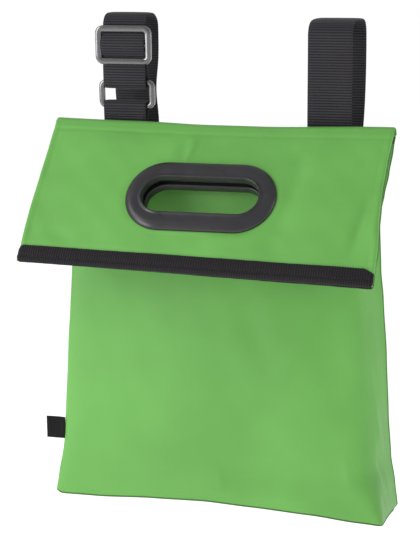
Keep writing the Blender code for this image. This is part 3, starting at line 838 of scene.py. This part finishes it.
# the gussets between the layers, folded inwards
for side, tag in ((-1, "left"), (1, "right")):
    rows = []
    for s in np.linspace(6.0, 148.5, 60):
        v = np.linspace(0, 1, 41)
        vee = 1 - np.abs(2 * v - 1)
        vee = smooth_path(vee[:, None], 1.2)[:, 0]
        reach = 31.0 * vee + 0.6 * np.sin(s / 13.0) * vee
        edge_x = float(flap_x(float(side), s)) - side * 0.5
        top = float(outer_n(edge_x - side * 3.0, s)) - 1.0
        low = (float(inner_n(edge_x, s)) + 0.7 if s > 24 else -4.7 + (24 - s) * 0.12)
        n = low + (top - low) * v
        n = n + (0.5 - v) * 1.2 * vee
        x = edge_x - side * reach
        q = flap_point(x, s + hang(x, s), n)
        q[:, 2] += lift(x, s)
        rows.append(q)
    G = np.array(rows)
    ob = grid_object(tag + "_flap_gusset_cloth", G, flip=side < 0)
    solid(ob, 0.6)
    dress(ob, inner_green_painted_shade, None, (tag + "_flap_gusset",))
    # the outer edge keeps to the outer layer, the inner edge follows the inner layer
    tuple(row(flap_point(0, 80.0, 6.0)))
    tuple(row(flap_point(0, 80.0, -4.6)))
    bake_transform(ob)


# ------------------------------------------------------------------ bindings
TAPE = [(17.6, 0.7), (17.45, 1.6), (16.9, 2.15), (15.8, 2.35), (13.0, 2.45), (10.0, 2.4), (8.0, 2.2), (7.1, 1.75),
        (6.6, 1.35), (6.1, 1.35), (5.6, 1.8), (4.8, 2.35), (3.4, 2.65), (2.0, 2.4), (0.9, 1.7), (0.2, 0.8), (0.0, 0.0),
        (0.2, -0.8), (0.9, -1.7), (2.0, -2.2), (4.0, -2.3), (8.0, -2.2), (13.0, -2.2), (16.4, -2.1), (17.3, -1.6),
        (17.6, -0.7)]


def binding(name, layer_n, left, right, end, drop, body, node, seed, face=1):
    """Tape folded over the raw edge: a rounded U swept across, with pressed, closed ends."""
    cols = 300
    rows, uvs = [], []
    run = np.concatenate([[0], np.cumsum(np.linalg.norm(np.diff(np.array(TAPE + TAPE[:1]), axis=0), axis=1))])
    for uu in np.linspace(0, 1, cols):
        # closer together at the two ends, which are rounded
        e = uu + 0.06 * math.sin(4 * math.pi * uu) / (2 * math.pi) * -1
        x = left + (right - left) * e
        near = min(x - left, right - x)
        close = ease(near / 3.0)
        squeeze = 0.45 + 0.55 * close
        if x < 0:
            top_cut = 4.2 * (1 - math.sqrt(max(0.0, 1 - (1 - min(near / 4.5, 1)) ** 2)))
            low_cut = 3.6 * (1 - math.sqrt(max(0.0, 1 - (1 - min(near / 4.0, 1)) ** 2)))
        else:
            top_cut = 4.6 * max(0.0, 1 - near / 9.0)
            low_cut = 2.2 * (1 - math.sqrt(max(0.0, 1 - (1 - min(near / 2.5, 1)) ** 2)))
        base_n = layer_n(x)
        wave = 0.35 * float(ripple(np.array([x]), np.array([0.0]), 80.0, seed)[0])
        wave += 0.16 * float(ripple(np.array([x]), np.array([3.0]), 14.0, seed + 3)[0])
        pucker = 0.12 * math.sin(2 * math.pi * x / 3.9)
        line = []
        for back_s, n in TAPE:
            f = back_s / 17.6
            at_s = end + 1.4 + drop(x) - low_cut * (1 - f) + top_cut * f - back_s
            line.append(flap_point(x, at_s, base_n + face * (n * squeeze + (pucker if 5 < back_s < 8 else 0)) + wave))
        rows.append(line)
        uvs.append([(r * 0.001, x * 0.001) for r in run])
    P = np.array(rows)
    ob = grid_object(name, P, np.array(uvs), close_u=True, caps=True, flip=face < 0)
    return dress(ob, binding_black, body, (node,))


b1 = binding("outer_binding", lambda x: 6.45, -168.2, 165.2, FLAP_END, lambda x: hang(x, FLAP_END), "outer_flap",
             "outer_mouth_binding", 11)
b2 = binding("inner_binding", lambda x: -2.35, -167.0, 164.4, INNER_END, lambda x: inner_hang(x, FLAP_END),
             "inner_flap", "inner_mouth_binding", 12, -1)
for tag, n0, body, face, end, drop, lo, hi in (
    ("outer", 6.45, "outer_flap", 1, FLAP_END, hang, -163.0, 160.0),
    ("inner", -2.35, "inner_flap", -1, INNER_END, inner_hang, -162.0, 159.0),
):
    x = np.linspace(lo, hi, 160)
    path = flap_point(x, end + 1.4 - 6.35 + drop(x, FLAP_END), np.full(160, n0 + face * 1.35))
    st = stitches(tag + "_binding_stitching", path, (0.0, face * N_DIR[0], face * N_DIR[1]), 2.9, 1.0, 0.26)
    dress(st, black_thread, body)


# ------------------------------------------------------------------ grips
def ring_surface(name, profile, count=132):
    """A closed moulded ring: profile is (end radius, n) pairs, going round the section."""
    rings = []
    for r, n in profile:
        q = stadium(r, count)
        rings.append(flap_point(GRIP_X + q[:, 0], GRIP_S - q[:, 1], np.full(count, n)))
    return grid_object(name, np.array(rings), close_u=True, close_v=True)


def moulded(points, base, sign=1):
    return [(r, base + sign * h) for r, h in points]


# section of the front frame: bore, raised inner lip, dished face, rounded rim
FRONT = [
    (18.6, -3.2), (18.55, -1.0), (18.5, 1.2), (18.5, 3.3), (18.65, 4.4), (19.1, 5.1), (19.8, 5.3), (20.5, 5.1),
    (21.0, 4.6), (21.6, 4.2), (23.0, 4.2), (25.5, 4.55), (28.0, 4.6), (30.5, 4.4), (32.8, 3.9),
    (34.6, 3.1), (35.8, 2.1), (36.5, 1.0), (36.6, 0.25), (36.1, -0.1), (28.0, 0.0), (20.6, 0.0), (19.8, -0.3), (19.75, -3.2),
]
REAR = [
    (20.1, 0.0), (20.1, 1.6), (20.4, 2.5), (21.2, 3.0), (23.0, 3.1), (29.5, 3.1), (32.6, 2.9), (34.2, 2.1), (35.0, 0.9),
    (35.0, 0.1), (34.4, -0.1), (26.0, 0.0),
]
g = ring_surface("outer_grip_front", moulded(FRONT, 9.5))
dress(g, grip_black, "outer_flap", ("outer_grip_front_frame",))
g = ring_surface("outer_grip_rear", moulded(REAR, 6.4, -1)[::-1])
dress(g, grip_rear_painted_shade, "outer_flap", ("outer_grip_rear_frame",))
FRONT_LOW = [(r, h * 0.66 if h > 0 else h - 1.4) for r, h in FRONT]
g = ring_surface("inner_grip_front", moulded(FRONT_LOW, -4.5))
dress(g, grip_black, "inner_flap", ("inner_grip_front_frame",))
REAR_DEEP = [(r, h * 1.6) for r, h in REAR]
g = ring_surface("inner_grip_rear", moulded(REAR_DEEP, -6.6, -1)[::-1])
dress(g, grip_rear_painted_shade, "inner_flap", ("inner_grip_rear_frame",))


# ------------------------------------------------------------------ webbing
WEB_W, WEB_T = 40.0, 1.6
LOOP_FRONT_Y, LOOP_BACK_Y = 5.4, 51.0
ARCH_RISE = 17.0


def catmull(points, step=0.25):
    pts = [np.array(p, float) for p in points]
    out = []
    for i in range(len(pts) - 1):
        p0, p1, p2, p3 = pts[max(i - 1, 0)], pts[i], pts[i + 1], pts[min(i + 2, len(pts) - 1)]
        for k in range(16):
            t = k / 16.0
            out.append(0.5 * ((2 * p1) + (p2 - p0) * t + (2 * p0 - 5 * p1 + 4 * p2 - p3) * t * t
                              + (3 * p1 - p0 - 3 * p2 + p3) * t ** 3))
    out.append(pts[-1])
    q = np.array(out)
    run = np.concatenate([[0], np.cumsum(np.linalg.norm(np.diff(q, axis=0), axis=1))])
    s = np.linspace(0, run[-1], int(run[-1] / step) + 1)
    return np.stack([np.interp(s, run, q[:, 0]), np.interp(s, run, q[:, 1])], -1)


def arch(top, back_y, tip=0.0, front_y_=LOOP_FRONT_Y):
    """Top of a loop, from the front strand over to the back strand, flatter than round."""
    mid, half = (front_y_ + back_y) / 2, (back_y - front_y_) / 2
    out = []
    for k in range(13):
        a = math.pi * k / 12
        out.append((mid - half * math.copysign(abs(math.cos(a)) ** 0.76, math.cos(a)),
                    top - ARCH_RISE + ARCH_RISE * math.sin(a) ** 0.76 + tip * math.cos(a) * math.sin(a)))
    return out


def back_strand(loop_top, back_y):
    foot_y, foot_z = 7.9, -57.0
    top = loop_top - ARCH_RISE
    out = []
    for k in range(1, 10):
        z = top + (foot_z - top) * k / 9.0
        h = (z - foot_z) / (top - foot_z)
        out.append((foot_y + (back_y - foot_y) * (1 - (1 - h) ** 3.4), z))
    return out


def ribbed_webbing(name, cx, route, pitch=2.5, depth=0.2, width=WEB_W, thick=WEB_T, sway=None, soften=6.0):
    """Webbing along route (y, z) with real cross ribs and woven edges. sway(y, z) moves it
    sideways."""
    q = smooth_path(catmull(route, 0.2), soften)
    run = np.concatenate([[0], np.cumsum(np.linalg.norm(np.diff(q, axis=0), axis=1))])
    count = int(run[-1] / (pitch / 4)) + 1
    s = np.linspace(0, run[-1], count)
    q = np.stack([np.interp(s, run, q[:, 0]), np.interp(s, run, q[:, 1])], -1)
    t = np.gradient(q, axis=0)
    t /= np.linalg.norm(t, axis=1, keepdims=True)
    nrm = np.stack([-t[:, 1], t[:, 0]], -1)
    h = width / 2
    across = np.array([-h, -h + 0.25, -h + 1.2, -h + 2.4, -h + 4] + list(np.linspace(-h + 8, h - 8, 5)) +
                      [h - 4, h - 2.4, h - 1.2, h - 0.25, h])
    edge = np.array([0.0, 0.55, 0.86, 0.9, 1] + [1] * 5 + [1, 0.9, 0.86, 0.55, 0.0])
    ribbing = np.array([0, 0, 0.15, 0.7, 1] + [1] * 5 + [1, 0.7, 0.15, 0, 0])
    rows, uvs = [], []
    for i in range(count):
        rib = 0.5 - 0.5 * math.cos(2 * math.pi * s[i] / pitch)
        cxi = cx + (sway(q[i, 0], q[i, 1]) if sway else 0.0)
        cup = 0.25 * math.sin(s[i] / 37.0 + cx)
        line, uline = [], []
        for side in (1, -1):
            seq = range(len(across)) if side == 1 else range(len(across) - 2, 0, -1)
            for k in seq:
                off = side * (thick / 2 - depth + depth * rib * ribbing[k]) * edge[k]
                off += cup * (across[k] / h) ** 2
                line.append((cxi + across[k], q[i, 0] + nrm[i, 0] * off, q[i, 1] + nrm[i, 1] * off))
                uline.append((across[k] * 0.001, s[i] * 0.001))
        uline.append(uline[0])
        rows.append(line)
        uvs.append(uline)
    return grid_object(name, np.array(rows), np.array(uvs), close_u=True, caps=True, flip=True)


def bar_tack(name, cx, z0, z1, y, body, width=34.0):
    """A stitched box with a cross, on the sewn tail at the back."""
    parts = []
    h = width / 2
    corners = [(cx - h, z0), (cx + h, z0), (cx + h, z1), (cx - h, z1), (cx - h, z0)]
    lines = list(zip(corners, corners[1:])) + [((cx - h, z0), (cx + h, z1)), ((cx - h, z1), (cx + h, z0))]
    for k, ((x0, a), (x1, b)) in enumerate(lines):
        n = 20
        path = np.stack([np.linspace(x0, x1, n), np.full(n, y), np.linspace(a, b, n)], -1)
        parts.append(stitches(f"{name}_{k}", path, (0.0, 1.0, 0.0), 2.5, 0.8, 0.26))
    ob = join(name, parts)
    return dress(ob, black_thread, body)


# right loop: one band, its two tails sewn flat on the back panel
RIGHT_TOP, RIGHT_BACK = 96.0, 53.0


def right_sway(y, z):
    back = ease((y - 12.0) / 34.0)
    return (0.9 * ease((z + 20.0) / 100.0) + 3.5 * back) * ease((z + 60.0) / 40.0)


tail = [(3.25, -112.0), (3.25, -95.0), (3.25, -80.0), (3.35, -68.0)]
leg = [(4.5, -52.0), (LOOP_FRONT_Y, -30.0), (LOOP_FRONT_Y, 0.0), (LOOP_FRONT_Y - 0.3, 30.0), (LOOP_FRONT_Y - 0.4, 55.0)]
back_tail = [(4.95, -66.0), (4.95, -80.0), (4.95, -95.0), (4.95, -111.0)]
right_route = tail + leg + arch(RIGHT_TOP, RIGHT_BACK) + back_strand(RIGHT_TOP, RIGHT_BACK)[:-1] + [(7.0, -58.0)] + back_tail
rw = ribbed_webbing("right_loop_band", 100.0, right_route, width=42.0, sway=right_sway)
dress(rw, webbing_black, None, ("right_loop_webbing", "right_loop_anchor"))
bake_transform(rw)
bar_tack("right_loop_tack", 100.0, -108.0, -68.0, 5.85, "bag")

# left loop
LEFT_TOP, LEFT_BACK, LEFT_X = 100.4, 49.0, -98.8


def left_sway(y, z):
    back = ease((y - 12.0) / 34.0)
    return (0.2 - back * (1.0 + 3.2 * bump(z - 24.0, 24.0)) + 2.2 * ease((44.0 - z) / 70.0) * ease(y / 20.0)) * ease((z + 60.0) / 40.0)


RING_Y, RING_Z, RING_H = 7.6, 25.0, 28.0
bar_offset = RING_H / 2 - 2.3
turn = 5.2
upper, lower = RING_Z + bar_offset, RING_Z - bar_offset
inner_leg_y = LOOP_FRONT_Y + 1.6
left_route = list(reversed(back_tail)) + [(7.0, -58.0)] + list(reversed(back_strand(LEFT_TOP, LEFT_BACK)[:-1]))
left_route += list(reversed(arch(LEFT_TOP, LEFT_BACK, 3.0)))
left_route = left_route[:-1] + [(inner_leg_y - 1.0, 72.0), (inner_leg_y, 62.0), (inner_leg_y + 1.6, 52.0)]
left_route += [(RING_Y + turn * math.cos(a), upper - 0.9 + turn * math.sin(a)) for a in [math.radians(d) for d in range(0, -181, -20)]]
left_route += [(RING_Y - turn - 0.1, upper + 9.0), (2.5, upper + 15.0), (2.6, upper + 22.0)]
lw = ribbed_webbing("left_loop_band", LEFT_X, left_route, width=42.4, sway=left_sway)
dress(lw, webbing_black, None, ("left_loop_webbing", "left_loop_anchor"))
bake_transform(lw)
bar_tack("left_loop_tack", LEFT_X, -108.0, -68.0, 5.85, "bag")

tab_route = [(3.25, -111.0), (3.25, -95.0), (3.25, -80.0), (3.35, -68.0), (3.6, -50.0), (3.4, -35.0), (2.9, -12.0), (2.5, 2.0)]
tab_route += [(RING_Y + turn * math.cos(a), lower + 0.2 + turn * math.sin(a)) for a in [math.radians(d) for d in range(180, -1, -20)]]
tab_route += [(9.4, 1.0), (6.6, -10.0), (5.4, -20.0), (5.3, -30.0)]


def tab_sway(y, z):
    return 1.6 * ease((10.0 - z) / 60.0) * ease((z + 64.0) / 20.0)


tb = ribbed_webbing("left_tab_band", LEFT_X - 0.3, tab_route, pitch=2.2, width=42.2, sway=tab_sway)
dress(tb, webbing_black, None, ("left_ring_tab",))
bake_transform(tb)
# dense tacks across the tab just over the bag, seen from the front
parts = []
for k, z in enumerate((3.4, 5.2, 7.0)):
    path = np.stack([np.linspace(-116.5, -80.0, 24), np.full(24, 1.35), np.full(24, z)], -1)
    parts.append(stitches(f"tab_tack_{k}", path, (0.0, -1.0, 0.0), 1.3, 0.6, 0.26))
tack = join("left_tab_tack", parts)
dress(tack, tack_thread, "left_loop")


# ------------------------------------------------------------------ slider and ring
def bar_frame(name, width, height, side_bar, end_bar, thick, corner, cy, cz, lip=0.0, cross=0.0, cx=-100.0):
    """A frame of rounded bars: a soft-cornered loop swept with a rounded section."""
    n = 96
    hw, hh = (width - side_bar) / 2, (height - end_bar) / 2
    r = corner
    path, widths = [], []
    seg = [(hw - r, hh, 0), (-(hw - r), hh, 1), (-hw, hh - r, 1), (-hw, -(hh - r), 2), (-(hw - r), -hh, 2), (hw - r, -hh, 3),
           (hw, -(hh - r), 3), (hw, hh - r, 4)]
    pts = []
    for (cx0, cz0, a0) in ((hw - r, hh - r, 0), (-(hw - r), hh - r, 90), (-(hw - r), -(hh - r), 180), (hw - r, -(hh - r), 270)):
        for k in range(9):
            a = math.radians(a0 + 90 * k / 8)
            pts.append((cx0 + r * math.cos(a), cz0 + r * math.sin(a), a))
    dense = []
    for i, p in enumerate(pts):
        q = pts[(i + 1) % len(pts)]
        d = math.hypot(q[0] - p[0], q[1] - p[1])
        m = 6 if d > 5 else 1
        for k in range(m):
            t = k / m
            ang = p[2] if m > 1 else p[2]
            dense.append((p[0] + (q[0] - p[0]) * t, p[1] + (q[1] - p[1]) * t, ang))
    sec = 16
    rows = []
    for x, z, a in dense:
        nx, nz = math.cos(a), math.sin(a)
        wid = (abs(nx) ** 1.5 * side_bar + abs(nz) ** 1.5 * end_bar) / (abs(nx) ** 1.5 + abs(nz) ** 1.5)
        line = []
        for k in range(sec):
            b = 2 * math.pi * k / sec
            cb, sb = math.cos(b), math.sin(b)
            ex = math.copysign(abs(cb) ** 0.62, cb) * wid / 2
            ey = math.copysign(abs(sb) ** 0.62, sb) * thick / 2
            if lip and sb < 0:
                ey -= lip * max(0.0, cb) * abs(sb)
            line.append((cx + x + nx * ex, cy + ey, cz + z + nz * ex))
        rows.append(line)
    ob = grid_object(name, np.array(rows), close_u=True, close_v=True)
    if cross:
        rows = []
        for x in np.linspace(-hw + 0.5, hw - 0.5, 14):
            rows.append([(cx + x, cy + cross / 2 * math.cos(b) * 0.9, cz + cross / 2 * math.sin(b))
                         for b in np.linspace(0, 2 * math.pi, 14, endpoint=False)])
        bar = grid_object(name + "_bar", np.array(rows), close_u=True, caps=True)
        ob = join(name, [ob, bar])
    return ob


sl = bar_frame("slider_frame", 55.6, 37.0, 6.2, 6.4, 5.0, 4.6, -1.0, 72.5, 0.35, 4.0, cx=-97.4)
dress(sl, buckle_black, "slider", ("left_slider",))
rg = bar_frame("square_ring_frame", 56.0, 28.0, 5.6, 4.7, 4.7, 5.0, RING_Y, RING_Z, cx=-97.9)
dress(rg, buckle_black, "square_ring", ("left_square_ring",))

wrap_route = [(0.4, 60.2), (-0.9, 62.6), (-2.7, 66.4), (-4.0, 70.2), (-4.3, 72.5), (-4.0, 74.8), (-2.7, 78.6), (-0.9, 82.4), (0.4, 84.8)]
we = ribbed_webbing("slider_webbing_wrap", -97.4, wrap_route, width=43.0, thick=1.5)
dress(we, webbing_black, "slider", ("slider_webbing_end",))


# ------------------------------------------------------------------ side label
def label():
    x1 = -150.2
    cols = 28
    rows = []
    for z in np.linspace(-305.6, -284.2, 26):
        line = []
        yf = float(front_y(-295)) + 4.0
        u = np.linspace(0, 1, cols)
        for t in u:
            x = x1 - 18.6 * t
            curl = -1.4 * t * t + 0.5 * math.sin(3 * t) * math.sin((z + 295) / 7.0)
            line.append((x, yf + curl, z + 0.5 * t))
        rows.append(line)
    ob = grid_object("side_label_tab", np.array(rows))
    solid(ob, 1.0)
    return ob


lb = label()
dress(lb, label_black, "bag", ("side_label",))
parts = []
yf = float(front_y(-295)) + 4.0
for k, x in enumerate((-153.5, -166.5)):
    t = (-150.2 - x) / 18.6
    path = np.stack([np.full(12, x), np.full(12, yf - 1.4 * t * t - 0.55), np.linspace(-303.5, -286.5, 12)], -1)
    parts.append(stitches(f"label_stitch_{k}", path, (0, -1, 0), 1.6, 0.6, 0.18))
st = join("side_label_stitching", parts)
dress(st, black_thread, "bag")


# ------------------------------------------------------------------ floor, lights, camera
def stage_floor():
    bpy.ops.mesh.primitive_plane_add(size=80.0, location=(0, 0, -0.62))
    floor = bpy.context.active_object
    floor.name = "floor"
    m = Nodes("floor_white")
    m.set(Roughness=0.9, Specular_IOR_Level=0.0, Emission_Strength=0.52)
    m.shader.inputs["Base Color"].default_value = (0.9, 0.9, 0.9, 1)
    m.shader.inputs["Emission Color"].default_value = (1, 1, 1, 1)
    floor.data.materials.append(m.mat)


stage_floor()


def area(name, loc, target, size, power, colour=(1, 1, 1)):
    data = bpy.data.lights.new(name, "AREA")
    data.shape = "RECTANGLE"
    data.size, data.size_y = size
    data.energy = power
    data.color = colour
    ob = bpy.data.objects.new(name, data)
    bpy.context.scene.collection.objects.link(ob)
    ob.location = loc
    ob.rotation_euler = (Vector(target) - Vector(loc)).to_track_quat("-Z", "Y").to_euler()
    return ob


MID = (0, -0.03, -0.2)
area("key_left", (-1.55, -1.75, 0.25), MID, (0.9, 1.2), 21)
area("top_left", (-1.5, -1.1, 1.1), MID, (1.0, 1.0), 9.5)
area("rim_right", (1.9, -0.1, 0.2), MID, (0.8, 1.6), 7.2)

world = bpy.data.worlds.new("studio")
bpy.context.scene.world = world
world.use_nodes = True
bg = world.node_tree.nodes["Background"]
bg.inputs["Color"].default_value = (1, 1, 1, 1)
bg.inputs["Strength"].default_value = 0.54

scene = bpy.context.scene
scene.view_settings.view_transform = "Standard"
scene.view_settings.look = "None"
scene.view_settings.exposure = 0.0

# camera at 16.5 degrees to the bag's right and 13.5 degrees above it
AZ, EL, ROLL, FOCAL = math.radians(16.5), math.radians(13.5), math.radians(-1.0), 1700.0
target = row((-16.1, 0.0, -142.4))
toward = np.array([math.sin(AZ) * math.cos(EL), -math.cos(AZ) * math.cos(EL), math.sin(EL)])
place = target + 1.6359 * toward
right = np.array([math.cos(AZ), math.sin(AZ), 0.0])
up = np.cross(right, -toward)
r2 = right * math.cos(ROLL) + up * math.sin(ROLL)
u2 = -right * math.sin(ROLL) + up * math.cos(ROLL)
cam_data = bpy.data.cameras.new("camera")
cam = bpy.data.objects.new("camera", cam_data)
scene.collection.objects.link(cam)
m = Matrix.Identity(4)
for i in range(3):
    m[i][0], m[i][1], m[i][2], m[i][3] = float(r2[i]), float(u2[i]), float(toward[i]), float(place[i])
cam.matrix_world = m
cam_data.sensor_fit = "AUTO"
cam_data.sensor_width = 36.0
cam_data.lens = FOCAL / 540.0 * 36.0
cam_data.clip_end = 100.0
scene.camera = cam
